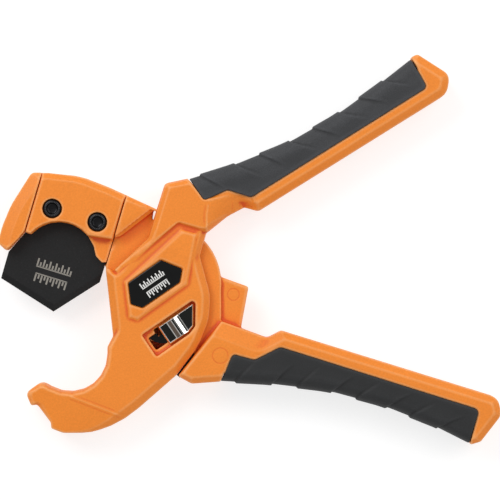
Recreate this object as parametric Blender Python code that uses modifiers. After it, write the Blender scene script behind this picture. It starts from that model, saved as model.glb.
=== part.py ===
"""A one-hand PVC pipe cutter, lying on its back.

The pivot axis is +Z through the origin and z = 0, the rear badge's face, is what the tool lies on. The hook jaw, the
cheeks and the upper handle are two half shells. The lever carries the blade and the lower handle, and
turns between the cheeks. It is modelled open, against its opening stop.
Lengths are millimetres until MM turns them into Blender's metres.
"""

import math

import bmesh
import bpy
from mathutils import Matrix, Vector

MM = 0.001

# Driving dimensions
THICK = 24.0  # over the neck, the grips and the rear cover
MID = THICK / 2  # the parting plane of the two half shells
PART_GAP = 0.15  # each shell stops this far from the parting plane
GAP = 0.3  # between neighbours that touch on the real tool
SEAT_RADIUS = 16.7  # half the outside diameter of 1 inch pipe
CLOSING_ANGLE = 50.0  # degrees that the lever turns from open to closed
CARRIER_TILT = -16.6  # degrees, the blade carrier's own X axis, with the lever open
LOCK_TILT = 34.2  # degrees, the lock's slot
LOCK_TRAVEL = 6.5

# Half thicknesses, each measured from the parting plane
SHELL_HALF = 10.6  # cheeks, hook and handle strips
PANEL_HALF = 11.5  # the raised panel that holds the badge
NECK_HALF = 12.0
HUB_HALF = 4.5
TAB_HALF = 3.0
HEAD_HALF = 9.5
BLADE_HALF = 0.9
TANG_HALF = 6.5  # the core inside each grip
SLOT_HALF = 1.3  # the blade's slot in the hook

# Pivot, spring and lock
HUB_RADIUS = 28.3
PIN_RADIUS = 5.0
PIN_HALF = 8.0  # the pin ends in blind bores under the badges
BUSH_RADIUS = 7.0
SPRING_RADIUS = 10.7  # to the centre of the wire
SPRING_WIRE = 1.6
SPRING_TURNS = 3
LOCK_PIN_RADIUS = 1.6
LOCK_PIN_PLACE = (6.6, -16.9)  # with the lock open
LOCK_FLOOR = 7.9  # the lock window's floor, above the parting plane

# Fasteners
CLAMP_SCREWS = ((-53.3, 18.7), (-32.7, 18.7))  # in the carrier's own axes
CLAMP_HEAD_RADIUS = 4.0
CLAMP_SHANK_RADIUS = 2.4
SHELL_SCREWS = ((10.0, 38.3), (-6.5, -42.5), (-37.0, -56.5), (83.0, 61.0), (121.3, 89.0))
SHELL_HEAD_RADIUS = 2.7
SHELL_SHANK_RADIUS = 1.5

ARC_STEP = 18.0  # degrees of a rounded corner per straight stretch
SIDES = 32  # of a turned piece

RELIEF_CENTRE = (-43.0, 11.0)  # the carrier's round relief, over the pipe when closed
RELIEF_RADIUS = 16.3


def arc(centre, radius, start, stop, share=0.0, steps=8):
    """Corners along an arc, for use in an outline."""
    turns = [math.radians(start + (stop - start) * i / steps) for i in range(steps + 1)]
    return [
        (centre[0] + radius * math.cos(t), centre[1] + radius * math.sin(t), 0.0, share) for t in turns]


# Outlines run anticlockwise. A corner is x, y, its rounding radius, and how much of a chamfer the edge
# after it takes.
BODY = (
    (-22.5, 7.8, 0.8, 1.0),  # top of the cheek's left edge
    (-19.1, -22.8, 1.5, 0.35),
    (-21.6, -27.4, 1.2, 0.35),
    (-21.6, -59.4, SEAT_RADIUS, 0.35),  # the pipe seat, between its two tangents
    (-50.6, -42.7, 3.5, 0.5),  # crest of the hook's lip
    (-57.4, -47.6, 2.6, 0.8),
    (-55.0, -53.2, 0.8, 0.6),
    (-52.3, -52.7, 1.2, 1.0),
    (-46.4, -60.6, 0.4, 0.9),
    (-46.2, -63.2, 0.6, 1.0),
    (-41.0, -65.2, 5.0, 1.1),
    (-28.5, -65.1, 24.0, 1.1),
    (-16.6, -60.8, 24.0, 1.1),
    (-8.0, -54.4, 24.0, 1.1),
    (8.5, -40.0, 1.0, 0.9),  # foot of the cheek's right edge
    (18.0, -27.6, 18.0, 0.9),
    (22.9, -15.5, 18.0, 0.9),
    (23.5, -4.5, 18.0, 0.9),
    (18.9, 12.3, 3.0, 0.7),
    (21.6, 22.4, 1.0, 1.0),  # inner corner of the neck
    (31.2, 30.2, 6.0, 1.0),
    (37.8, 33.9, 3.0, 1.0),
    (44.6, 32.0, 2.5, 1.0),
    (127.2, 83.5, 6.0, 1.0),  # handle end
    (128.5, 91.7, 4.5, 1.0),
    (114.2, 100.9, 1.6, 0.8),
    (111.4, 99.4, 0.3, 0.0),
    (114.5, 93.9, 0.0, 0.0),  # the core inside the grip
    (98.6, 81.2, 0.0, 0.0),
    (84.4, 71.6, 0.0, 0.0),
    (66.5, 61.2, 0.0, 0.0),
    (50.0, 53.5, 0.0, 0.0),
    (34.0, 47.3, 0.0, 0.0),
    (16.6, 42.3, 0.0, 0.0),
    (13.6, 46.3, 0.3, 1.0),
    (3.6, 44.2, 2.2, 1.0),
    (-4.1, 19.8, 4.0, 1.0),
    (-19.4, 5.9, 0.5, 0.5),
)
PANEL = (
    (-15.4, 2.2, 0.5, 1.0),
    (-13.3, -15.6, 2.0, 1.0),
    (-8.0, -17.2, 1.5, 1.0),
    (14.6, -1.0, 2.5, 0.9),
    (19.0, 22.4, 1.0, 0.6),
    (9.2, 25.0, 1.0, 1.4),
)
NECK = (
    (-18.4, 6.3, 0.0, 0.3),
    (-16.6, 4.6, 0.0, 0.3),
    (9.2, 26.2, 1.0, 0.6),
    (20.5, 23.0, 0.0, 0.8),
    (22.4, 22.9, 0.0, 1.0),
    (31.0, 29.8, 6.0, 1.0),
    (37.8, 33.4, 0.0, 0.2),
    (35.0, 40.0, 0.0, 0.2),
    (21.3, 37.4, 0.0, 0.2),
    (14.0, 45.9, 1.0, 0.9),
    (3.9, 43.9, 2.0, 1.0),
    (-3.4, 20.3, 4.0, 1.0),
)
# Sloped cuts: two points that the plane passes through, its height there, and its fall to the left of
# them for each mm
NECK_RAMPS = (
    ((14.6, 11.4), (-14.6, 38.6), NECK_HALF, 0.075),
    ((22.6, 38.0), (22.6, 20.0), NECK_HALF, 0.13),
)
HOOK_RAMP = ((-13.7, -58.4), (-38.9, -48.6), SHELL_HALF, 0.16)
UPPER_GRIP = (
    (14.2, 46.5, 0.4, 0.12),
    (20.9, 37.0, 1.6, 0.12),
    (31.0, 41.8, 2.5, 0.12),
    (41.4, 38.5, 2.5, 0.12),
    (117.9, 86.3, 2.2, 0.12),
    (111.0, 98.8, 0.8, 0.9),
    (98.0, 88.9, 8.0, 1.0),
    (79.0, 75.2, 20.0, 1.0),
    (57.0, 62.5, 20.0, 1.0),
    (33.0, 52.7, 20.0, 1.0),
)
LOWER_HANDLE = (
    (28.4, -16.2, 0.8, 0.2),  # the shoulder that stops against the cheek
    (9.3, -40.3, 0.6, 0.7),
    (15.3, -43.6, 2.0, 0.9),
    (28.0, -42.7, 0.0, 0.0),
    (29.6, -38.7, 0.0, 0.0),  # the core inside the grip
    (50.0, -39.2, 0.0, 0.0),
    (75.0, -42.6, 0.0, 0.0),
    (99.0, -49.2, 0.0, 0.0),
    (121.0, -58.2, 0.0, 0.0),
    (138.0, -66.4, 0.0, 0.0),
    (137.2, -70.4, 0.4, 0.8),
    (142.0, -69.0, 2.0, 1.0),  # handle end
    (151.2, -57.2, 4.5, 1.0),
    (149.5, -49.8, 5.0, 1.0),
    (54.6, -20.4, 1.6, 1.3),
    (48.4, -23.6, 3.0, 2.4),
    (36.6, -19.2, 8.0, 2.4),
)
LOWER_GRIP = (
    (28.9, -42.8, 0.4, 1.0),
    (49.0, -44.1, 20.0, 1.0),
    (75.0, -47.3, 20.0, 1.0),
    (99.6, -54.0, 20.0, 1.0),
    (122.3, -63.1, 8.0, 0.9),
    (136.6, -70.0, 0.8, 0.12),
    (140.7, -55.1, 2.2, 0.12),
    (54.2, -27.9, 2.2, 0.12),
    (43.0, -33.6, 2.2, 0.12),
    (33.6, -31.0, 1.8, 0.12),
)
HEAD = (
    (-54.8, 49.0, 2.6, 1.9),
    (-63.9, 34.6, 20.0, 1.9),
    (-67.7, 25.5, 15.0, 1.9),
    (-69.7, 18.1, 1.6, 0.5),
    (-65.7, 14.5, 0.8, 0.2),
    (-57.6, 23.2, 0.0, 0.2),
    *arc(RELIEF_CENTRE, RELIEF_RADIUS, 132.0, 38.0, 0.2),
    (-16.6, 20.4, 6.0, 0.9),
    (-0.3, 33.0, 0.0, 0.0),
    (-21.1, 42.6, 30.0, 1.0),
    (-33.5, 47.4, 18.0, 1.0),
    (-48.0, 48.9, 14.0, 1.0),
)
HEAD_NECK = (
    (-31.0, 23.0, 0.0, 0.0),
    *arc(RELIEF_CENTRE, RELIEF_RADIUS, 30.0, 4.0, 0.0, 3),
    (-22.6, 7.7, 0.6, 0.0),
    (-21.2, 3.0, 0.0, 0.0),
    (5.0, 0.0, 0.0, 0.0),
    (5.0, 27.6, 0.0, 0.0),
    (-2.2, 28.0, 0.0, 0.0),
    (-1.7, 31.4, 0.0, 0.0),
    (-24.0, 38.0, 0.0, 0.0),
)
TAB = (
    (20.0, -20.0, 0.0, 0.0),
    (36.4, -22.0, 0.0, 1.0),
    (40.3, -1.2, 1.0, 1.0),
    (27.0, 3.6, 0.0, 1.0),
    (20.0, 5.0, 0.0, 0.0),
)
BLADE = (  # in the carrier's own axes, the edge from the fourth corner to the sixth
    (-61.9, 27.0, 1.0, 0.0),
    (-61.9, 5.3, 0.5, 0.0),
    (-66.6, -4.9, 0.6, 0.0),
    (-66.5, -17.1, 0.0, 1.0),
    (-40.2, -24.6, 0.0, 1.0),
    (-24.4, -6.4, 0.0, 0.0),
    (-24.1, 27.0, 1.0, 0.0),
)
CLAMP_PLATE = (  # in the carrier's own axes
    (-24.0, 33.3, 0.0, 1.0),
    (-32.4, 34.5, 20.0, 1.0),
    (-45.6, 35.6, 20.0, 1.0),
    (-59.5, 33.2, 0.0, 1.0),
    (-61.9, 32.4, 0.0, 0.2),
    (-61.9, 5.4, 0.0, 0.2),
    *arc((-44.35, -1.74), RELIEF_RADIUS, 155.0, 21.0, 0.2),
    (-25.9, 2.2, 0.5, 0.0),
    (-24.0, 2.9, 0.0, 0.2),
)
CLAMP_BLOCK = (
    *CLAMP_PLATE[:6],
    *arc((-44.35, -1.74), RELIEF_RADIUS, 155.0, 55.0, 0.2),
    (-24.0, 13.2, 0.0, 0.2),
)
LOCK_WINDOW = (
    (-6.4, -22.2, 0.3, 1.0),
    (0.0, -31.7, 0.3, 1.0),
    (14.4, -21.6, 1.0, 1.0),
    (16.9, -18.4, 1.0, 1.0),
    (17.1, -7.9, 1.2, 1.0),
    (15.4, -7.3, 0.8, 1.0),
)
LOCK_HOLE = (  # in the lock's own axes
    (-16.45, -17.5, 0.3, 0.0),
    (-16.45, -23.85, 0.3, 0.0),
    (-0.4, -23.85, 0.3, 0.0),
    (3.85, -15.7, 0.3, 0.0),
    (-12.5, -15.7, 0.3, 0.0),
    (-12.5, -17.5, 0.0, 0.0),
)
LOCK_SLIDE = (
    (0.2, -18.3, 0.4, 1.0),
    (5.9, -26.4, 0.4, 1.0),
    (14.2, -20.7, 0.6, 1.0),
    (16.2, -18.2, 0.8, 1.0),
    (16.2, -8.7, 0.8, 1.0),
    (15.3, -8.1, 0.5, 1.0),
)
BADGE = (
    (-12.3, 0.6, 0.8, 1.0),
    (-11.2, -8.6, 0.8, 1.0),
    (-6.1, -10.2, 0.8, 1.0),
    (10.1, 0.9, 0.8, 1.0),
    (11.2, 6.8, 0.8, 1.0),
    (1.9, 10.6, 0.8, 1.0),
)


# ---------------------------------------------------------------- shapes


def line_crossing(first, second):
    """Where two lines, each a point and a direction, cross."""
    (p, d), (q, e) = first, second
    across = d.x * e.y - d.y * e.x
    if abs(across) < 1e-6:
        return q
    return p + d * (((q - p).x * e.y - (q - p).y * e.x) / across)


def ring(corners, inset=0.0):
    """The outline's points, with its edges moved inwards by inset times each edge's share."""
    count = len(corners)
    spots = [Vector(c[:2]) for c in corners]
    lines = []
    for i, corner in enumerate(corners):
        along = (spots[(i + 1) % count] - spots[i]).normalized()
        inward = Vector((-along.y, along.x))
        lines.append((spots[i] + inward * inset * corner[3], along))
    points = []
    for i, corner in enumerate(corners):
        before, after = lines[i - 1][1], lines[i][1]
        spot = line_crossing(lines[i - 1], lines[i])
        turn = math.atan2(before.x * after.y - before.y * after.x, before.dot(after))
        if corner[2] == 0.0 or abs(turn) < math.radians(1.0):
            points.append(spot)
            continue
        moved = inset * (corners[i - 1][3] + corner[3]) / 2
        radius = max(corner[2] - math.copysign(moved, turn), 0.05)
        reach = radius * math.tan(abs(turn) / 2)
        start = spot - before * reach
        side = math.copysign(1.0, turn)
        centre = start + Vector((-before.y, before.x)) * radius * side
        steps = max(1, math.ceil(math.degrees(abs(turn)) / ARC_STEP))
        for step in range(steps + 1):
            swing = Matrix.Rotation(turn * step / steps, 2)
            points.append(centre + swing @ (start - centre))
    return points


def loft(name, corners, levels):
    """A solid through the outline at each (height, inset) level, lowest first."""
    rings = [ring(corners, inset) for _, inset in levels]
    count = len(rings[0])
    points = [(p.x * MM, p.y * MM, z * MM) for loop, (z, _) in zip(rings, levels) for p in loop]
    faces = [tuple(reversed(range(count))), tuple(range(count * (len(rings) - 1), count * len(rings)))]
    for level in range(len(rings) - 1):
        low = level * count
        for i in range(count):
            nxt = (i + 1) % count
            faces.append((low + i, low + nxt, low + count + nxt, low + count + i))
    mesh = bpy.data.meshes.new(name)
    mesh.from_pydata(points, [], faces)
    return bpy.data.objects.new(name, mesh)


def slab(name, corners, low, high, inset=0.0):
    """A flat plate of the outline, made as a filled 2D curve."""
    curve = bpy.data.curves.new(name, "CURVE")
    curve.dimensions = "2D"
    curve.fill_mode = "BOTH"
    curve.extrude = (high - low) / 2 * MM
    points = ring(corners, inset)
    spline = curve.splines.new("POLY")
    spline.points.add(len(points) - 1)
    for spot, point in zip(spline.points, points):
        spot.co = (point.x * MM, point.y * MM, 0.0, 1.0)
    spline.use_cyclic_u = True
    return mesh_of(curve, Vector((0.0, 0.0, (low + high) / 2 * MM)))


def mesh_of(curve, place):
    """The curve's solid as a mesh object with its caps welded, moved to place."""
    guide = bpy.data.objects.new(curve.name, curve)
    bpy.context.scene.collection.objects.link(guide)
    graph = bpy.context.evaluated_depsgraph_get()
    mesh = bpy.data.meshes.new_from_object(guide.evaluated_get(graph))
    bpy.data.objects.remove(guide)
    work = bmesh.new()
    work.from_mesh(mesh)
    bmesh.ops.remove_doubles(work, verts=work.verts, dist=1e-6)
    bmesh.ops.translate(work, verts=work.verts, vec=place)
    work.to_mesh(mesh)
    work.free()
    return bpy.data.objects.new(curve.name, mesh)


def cylinder(name, radius, low, high, place=(0.0, 0.0), sides=SIDES):
    """A plain round solid on a vertical axis."""
    work = bmesh.new()
    bmesh.ops.create_cone(
        work, cap_ends=True, segments=sides, radius1=radius * MM, radius2=radius * MM,
        depth=(high - low) * MM)
    bmesh.ops.translate(
        work, verts=work.verts, vec=Vector((place[0] * MM, place[1] * MM, (low + high) / 2 * MM)))
    mesh = bpy.data.meshes.new(name)
    work.to_mesh(mesh)
    work.free()
    return bpy.data.objects.new(name, mesh)


def turned(name, profile, place=(0.0, 0.0), sides=SIDES):
    """A solid of revolution about a vertical axis, from (radius, height) top to bottom."""
    mesh = bpy.data.meshes.new(name + "_profile")
    points = [(r * MM, 0.0, z * MM) for r, z in profile]
    mesh.from_pydata(points, [(i, i + 1) for i in range(len(points) - 1)], [])
    guide = bpy.data.objects.new(name + "_profile", mesh)
    bpy.context.scene.collection.objects.link(guide)
    screw = guide.modifiers.new("turn", "SCREW")
    screw.steps = screw.render_steps = sides
    screw.use_merge_vertices = True
    screw.merge_threshold = 1e-6
    graph = bpy.context.evaluated_depsgraph_get()
    solid = bpy.data.meshes.new_from_object(guide.evaluated_get(graph))
    bpy.data.objects.remove(guide)
    work = bmesh.new()
    work.from_mesh(solid)
    bmesh.ops.remove_doubles(work, verts=work.verts, dist=1e-6)
    bmesh.ops.translate(work, verts=work.verts, vec=Vector((place[0] * MM, place[1] * MM, 0.0)))
    work.to_mesh(solid)
    work.free()
    solid.name = name
    return bpy.data.objects.new(name, solid)


def ring_cutter(name, inner, outer, low, high):
    """A tube to cut a round groove with."""
    return turned(name, ((inner, high), (outer, high), (outer, low), (inner, low), (inner, high)))


def sector(radius, start, stop, tail):
    """Corners of a wedge: the tail's points, then an arc about the pivot."""
    steps = 8
    corners = [(x, y, 0.0, 0.0) for x, y in tail]
    for step in range(steps + 1):
        angle = math.radians(start + (stop - start) * step / steps)
        corners.append((radius * math.cos(angle), radius * math.sin(angle), 0.0, 0.0))
    return corners


def even(corners):
    """The corners with every edge taking the whole inset, for a clearance all round."""
    return [(*corner[:3], 1.0) for corner in corners]


def tilted(corners, degrees):
    """The corners turned about the pivot."""
    swing = Matrix.Rotation(math.radians(degrees), 2)
    out = []
    for corner in corners:
        spot = swing @ Vector(corner[:2])
        out.append((spot.x, spot.y, corner[2], corner[3]))
    return out


def tilted_spot(spot, degrees):
    return tuple(Matrix.Rotation(math.radians(degrees), 2) @ Vector(spot))


def plate(name, corners, half, inset, drop):
    """A solid of the outline about the parting plane, with a chamfer round both faces."""
    return loft(name, corners, (
        (MID - half, inset), (MID - half + drop, 0.0), (MID + half - drop, 0.0), (MID + half, inset)))


def shell_plate(name, corners, half, inset, drop, side):
    """Half of such a plate, on the front (side 1) or the rear (side -1) of the parting plane."""
    if side > 0:
        return loft(name, corners, (
            (MID + PART_GAP, 0.0), (MID + half - drop, 0.0), (MID + half, inset)))
    return loft(name, corners, (
        (MID - half, inset), (MID - half + drop, 0.0), (MID - PART_GAP, 0.0)))


def shave(name, ramp, side):
    """A large block to cut with, whose near face is a ramp's sloping plane."""
    (x0, y0), (x1, y1), height, fall = ramp
    work = bmesh.new()
    bmesh.ops.create_cube(work, size=0.12)
    bmesh.ops.translate(work, verts=work.verts, vec=(0.0, 0.06, 0.06 if side > 0 else -0.06))
    turn = Matrix.Rotation(-side * math.atan(fall), 4, "X")
    swing = Matrix.Rotation(math.atan2(y1 - y0, x1 - x0), 4, "Z")
    place = Matrix.Translation(Vector((
        (x0 + x1) / 2 * MM, (y0 + y1) / 2 * MM, (MID + side * height) * MM)))
    bmesh.ops.transform(work, matrix=place @ swing @ turn, verts=work.verts)
    mesh = bpy.data.meshes.new(name)
    work.to_mesh(mesh)
    work.free()
    return bpy.data.objects.new(name, mesh)


def span(side, low, high):
    """Heights of a feature that runs from low to high off the parting plane, on one side."""
    return (MID + low, MID + high) if side > 0 else (MID - high, MID - low)


def combine(body, others, operation, solver="EXACT"):
    """Join or cut the body with each of the others, which become hidden cutters.

    The castings have flush faces that the exact solver loses, so they take the manifold one.
    """
    cutters = bpy.data.collections["cutters"].objects
    for other in others:
        if other.name not in cutters:
            cutters.link(other)
        other.hide_render = True
        other.display_type = "WIRE"
        step = body.modifiers.new(operation.lower(), "BOOLEAN")
        step.operation = operation
        step.solver = solver
        step.object = other


# ---------------------------------------------------------------- materials


def finish(name, colour, roughness, metallic=0.0):
    """A Principled material from an sRGB colour."""
    material = bpy.data.materials.new(name)
    material.use_nodes = True
    shader = material.node_tree.nodes["Principled BSDF"]
    linear = [((c / 255 + 0.055) / 1.055) ** 2.4 if c > 10 else c / 255 / 12.92 for c in colour]
    shader.inputs["Base Color"].default_value = (*linear, 1.0)
    shader.inputs["Roughness"].default_value = roughness
    shader.inputs["Metallic"].default_value = metallic
    material.diffuse_color = (*linear, 1.0)
    return material


def orange_paint():
    return finish("orange_powder_coat", (238, 140, 62), 0.5)


def grip_rubber():
    return finish("dark_grip_rubber", (62, 63, 65), 0.75)


def black_steel():
    return finish("black_coated_steel", (31, 31, 31), 0.45, 0.6)


def bright_steel():
    return finish("plated_steel", (190, 190, 188), 0.3, 1.0)


def chrome():
    return finish("chrome_plate", (205, 206, 205), 0.15, 1.0)


def badge_black():
    return finish("badge_plastic", (10, 11, 11), 0.25)


# ---------------------------------------------------------------- sub-parts


def add(node, material, axis=(0.0, 0.0, MID)):
    """Put a finished node in the model, with its origin on its axis."""
    bpy.data.collections["pvc_pipe_cutter"].objects.link(node)
    origin = Vector(axis) * MM
    node.data.transform(Matrix.Translation(-origin))
    node.location = origin
    node.data.materials.clear()
    node.data.materials.append(material)
    return node


def blade_slot(side):
    """The slot that the closed blade drops into, a little past its edge."""
    edge = ((-20.0, 10.0), (-15.2, -17.5), (-18.6, -43.9), (-46.5, -52.3))
    corners = [(x, y, 0.0, 0.0) for x, y in edge]
    for step in range(1, 9):
        angle = math.radians(228.4 - 78.4 * step / 8)
        corners.append((70.0 * math.cos(angle), 70.0 * math.sin(angle), 0.0, 0.0))
    return slab("blade_slot", list(reversed(corners)), *span(side, -0.5, SLOT_HALF))


def shell(name, side):
    """One half of the hook jaw, the cheeks and the upper handle, in one casting."""
    body = shell_plate(name, BODY, SHELL_HALF, 3.4, 2.6, side)
    panel = shell_plate(name + "_panel", PANEL, PANEL_HALF, 2.2, 1.6, side)
    neck = shell_plate(name + "_neck", NECK, NECK_HALF, 2.2, 1.9, side)
    combine(body, [shave("hook_ramp", HOOK_RAMP, side)], "DIFFERENCE", "MANIFOLD")
    combine(neck, [shave("neck_ramp", ramp, side) for ramp in NECK_RAMPS], "DIFFERENCE", "MANIFOLD")
    bpy.data.collections["cutters"].objects.link(neck)
    combine(body, [panel, neck], "UNION", "MANIFOLD")
    grip_low, grip_high = span(side, TANG_HALF, NECK_HALF + 2.0)
    cuts = [
        slab("grip_pocket", even(UPPER_GRIP), grip_low, grip_high, -GAP),
        cylinder("hub_pocket", HUB_RADIUS + 0.5, *span(side, -1.0, HUB_HALF + GAP), sides=64),
        slab("web_pocket", sector(35.2, -66.0, 34.0, ((10.0, 6.0),)), *span(side, -1.1, HUB_HALF + GAP)),
        slab("tab_pocket", sector(41.6, -8.0, 64.0, ((2.0, 4.0),)), *span(side, -1.2, TAB_HALF + 0.4)),
        cylinder("pin_bore", PIN_RADIUS + GAP, *span(side, -1.4, PIN_HALF + GAP)),
        blade_slot(side),
        slab("badge_recess", BADGE, *span(side, PANEL_HALF - 0.9, PANEL_HALF + 1.0), -GAP),
    ]
    for x, y in SHELL_SCREWS:
        if side < 0:
            cuts.append(cylinder("screw_hole", SHELL_SHANK_RADIUS + GAP, -1.0, MID + 1.0, (x, y), 16))
            cuts.append(cylinder("screw_seat", SHELL_HEAD_RADIUS + GAP, -2.0, 5.0, (x, y), 20))
        else:
            cuts.append(cylinder(
                "screw_hole", SHELL_SHANK_RADIUS + GAP, MID - 1.0, MID + 6.0, (x, y), 16))
    if side > 0:
        cuts.append(slab("lock_window", LOCK_WINDOW, MID + LOCK_FLOOR, MID + 14.0))
        cuts.append(slab("lock_hole", tilted(LOCK_HOLE, LOCK_TILT), MID + 2.0, MID + 9.0))
    combine(body, cuts, "DIFFERENCE", "MANIFOLD")
    return add(body, orange_paint())


def upper_grip():
    """The upper handle's soft cover, C-shaped round the casting's core."""
    grip = plate("upper_grip", UPPER_GRIP, NECK_HALF, 2.6, 2.0)
    core = [(16.6, 42.3), (16.0, 30.0), (41.0, 30.0), (121.0, 80.0), (114.5, 93.9), (98.6, 81.2),
            (84.4, 71.6), (66.5, 61.2), (50.0, 53.5), (34.0, 47.3)]
    corners = [(x, y, 0.0, 1.0) for x, y in core]
    combine(grip, [slab("upper_core", corners, *core_span(), -GAP)], "DIFFERENCE")
    return add(grip, grip_rubber())


def core_span():
    return MID - TANG_HALF - GAP, MID + TANG_HALF + GAP


def lower_grip():
    """The lower handle's soft cover, C-shaped round the lever's core."""
    grip = plate("lower_grip", LOWER_GRIP, NECK_HALF, 2.6, 2.0)
    core = [(29.6, -38.7), (50.0, -39.2), (75.0, -42.6), (99.0, -49.2), (121.0, -58.2),
            (138.0, -66.4), (146.0, -50.0), (54.0, -20.0), (30.0, -20.0)]
    corners = [(x, y, 0.0, 1.0) for x, y in core]
    combine(grip, [slab("lower_core", corners, *core_span(), -GAP)], "DIFFERENCE")
    return add(grip, grip_rubber())


def lever_casting():
    """The hub, the blade carrier's head, the tab and the lower handle, in one casting."""
    hub = cylinder("lever_casting", 20.8, MID - HUB_HALF, MID + HUB_HALF, sides=64)
    shoulder = arc((0.0, 0.0), 34.6, -62.0, -33.0) + [(15.0, -8.0, 0.0, 0.0)]
    joined = [
        slab("rim", arc((0.0, 0.0), HUB_RADIUS, -82.0, 98.0, steps=24) + [(-3.0, 3.0, 0.0, 0.0)],
             MID - HUB_HALF + 0.03, MID + HUB_HALF - 0.03),
        slab("rim_foot", [(18.0, 3.0, 0.0, 0.0), (18.0, -21.0, 0.0, 0.0), (27.6, -19.0, 0.0, 0.0),
                          (28.3, -16.5, 0.0, 0.0), (28.1, 3.0, 0.0, 0.0)],
             MID - HUB_HALF + 0.05, MID + HUB_HALF - 0.05),
        slab("lock_rim", arc((0.0, 0.0), 25.2, 220.0, 285.0) + [(1.0, 3.0, 0.0, 0.0)],
             MID - HUB_HALF + 0.04, MID + HUB_HALF - 0.04),
        plate("handle", LOWER_HANDLE, SHELL_HALF, 3.0, 2.4),
        slab("web", shoulder, MID - HUB_HALF + 0.02, MID + HUB_HALF - 0.02),
        plate("tab", TAB, TAB_HALF, 0.6, 0.6),
        slab("head_neck", HEAD_NECK, MID - HUB_HALF + 0.01, MID + HUB_HALF - 0.01),
        plate("head", HEAD, HEAD_HALF, 2.6, 2.0),
    ]
    combine(hub, joined, "UNION")
    cuts = [cylinder("bore", BUSH_RADIUS + GAP, -1.0, THICK + 1.0)]
    cuts.append(ring_cutter(
        "spring_groove", SPRING_RADIUS - 1.3, SPRING_RADIUS + 1.3, MID - HUB_HALF + 1.2, MID + 6.0))
    cuts.append(lock_groove())
    for low, high in ((MID + TANG_HALF, THICK + 2.0), (-2.0, MID - TANG_HALF)):
        cuts.append(slab("grip_pocket", even(LOWER_GRIP), low, high, -GAP))
    pocket = [(-62.1, -3.0, 0.0, 0.0), (-23.7, -3.0, 0.0, 0.0), (-23.7, 40.0, 0.0, 0.0),
              (-62.1, 40.0, 0.0, 0.0)]
    cuts.append(slab("plate_pocket", tilted(pocket, CARRIER_TILT), MID + 1.1, THICK + 1.0))
    cuts.append(slab("blade_pocket", even(tilted(BLADE, CARRIER_TILT)), MID - 1.2, MID + 1.3, -GAP))
    for spot in CLAMP_SCREWS:
        cuts.append(cylinder(
            "clamp_hole", CLAMP_SHANK_RADIUS + GAP, 4.2, MID + 3.0, tilted_spot(spot, CARRIER_TILT), 20))
    combine(hub, cuts, "DIFFERENCE", "MANIFOLD")
    return add(hub, orange_paint())


def lock_groove():
    """The hub's arc for the lock pin, with a deeper end at each limit of the lever."""
    x, y = LOCK_PIN_PLACE
    reach = math.hypot(x, y)
    start = math.degrees(math.atan2(y, x))
    clear = LOCK_PIN_RADIUS + 0.5
    tilt = math.radians(LOCK_TILT)
    spot = (x - LOCK_TRAVEL * math.cos(tilt), y - LOCK_TRAVEL * math.sin(tilt))
    corners = []
    for radius, first, last in ((reach - clear, 9.0, -62.0), (reach + clear, -62.0, 9.0)):
        for step in range(13):
            angle = math.radians(start + first + (last - first) * step / 12)
            corners.append((radius * math.cos(angle), radius * math.sin(angle), 0.0, 0.0))
    groove = slab("lock_groove", list(reversed(corners)), MID - HUB_HALF - 1.0, MID + HUB_HALF + 1.0)
    notch = arc((x, y), clear, LOCK_TILT + 90.0, LOCK_TILT - 90.0, steps=6)
    notch += arc(spot, clear, LOCK_TILT - 90.0, LOCK_TILT - 270.0, steps=6)
    notch = list(reversed(notch))
    ends = [slab("lock_notch", tilted(notch, turn), MID - 8.0, MID + 8.0) for turn in (0.0, -CLOSING_ANGLE)]
    combine(groove, ends, "UNION", "MANIFOLD")
    return groove


def blade():
    """A coated steel blade with its edge ground from both sides."""
    corners = tilted(BLADE, CARRIER_TILT)
    node = loft("blade", corners, (
        (MID - BLADE_HALF, 2.6), (MID - 0.15, 0.0), (MID + 0.15, 0.0), (MID + BLADE_HALF, 2.6)))
    holes = [cylinder("blade_hole", CLAMP_SHANK_RADIUS + GAP, MID - 3.0, MID + 3.0,
                      tilted_spot(spot, CARRIER_TILT), 20) for spot in CLAMP_SCREWS]
    combine(node, holes, "DIFFERENCE")
    return add(node, black_steel())


def blade_clamp_plate():
    """The block on the carrier's front that clamps the blade, thinner beside the cheek."""
    thin = tilted(CLAMP_PLATE, CARRIER_TILT)
    thick = tilted(CLAMP_BLOCK, CARRIER_TILT)
    node = loft("blade_clamp_plate", thick, (
        (MID + 1.4, 0.0), (MID + HEAD_HALF - 2.0, 0.0), (MID + HEAD_HALF, 2.6)))
    combine(node, [slab("thin_foot", thin, MID + 1.41, MID + HUB_HALF)], "UNION", "MANIFOLD")
    cuts = []
    for spot in CLAMP_SCREWS:
        place = tilted_spot(spot, CARRIER_TILT)
        cuts.append(cylinder("clamp_hole", CLAMP_SHANK_RADIUS + GAP, MID, MID + 12.0, place, 20))
        cuts.append(cylinder("clamp_seat", CLAMP_HEAD_RADIUS + GAP, MID + 7.4, MID + 12.0, place, 28))
    combine(node, cuts, "DIFFERENCE", "MANIFOLD")
    return add(node, orange_paint())


def clamp_screw(number, spot):
    """A socket button-head screw down through the clamp block, the blade and the carrier."""
    top = MID + HEAD_HALF + 0.1
    node = turned("clamp_screw_%d" % number, (
        (0.0, top - 1.2), (1.5, top - 1.2), (1.7, top), (2.9, top - 0.2), (3.9, top - 0.9),
        (CLAMP_HEAD_RADIUS, top - 1.6), (CLAMP_HEAD_RADIUS, MID + 7.7), (CLAMP_SHANK_RADIUS, MID + 7.7),
        (CLAMP_SHANK_RADIUS, 4.6), (0.0, 4.6)), tilted_spot(spot, CARRIER_TILT), 20)
    return add(node, black_steel())


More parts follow.
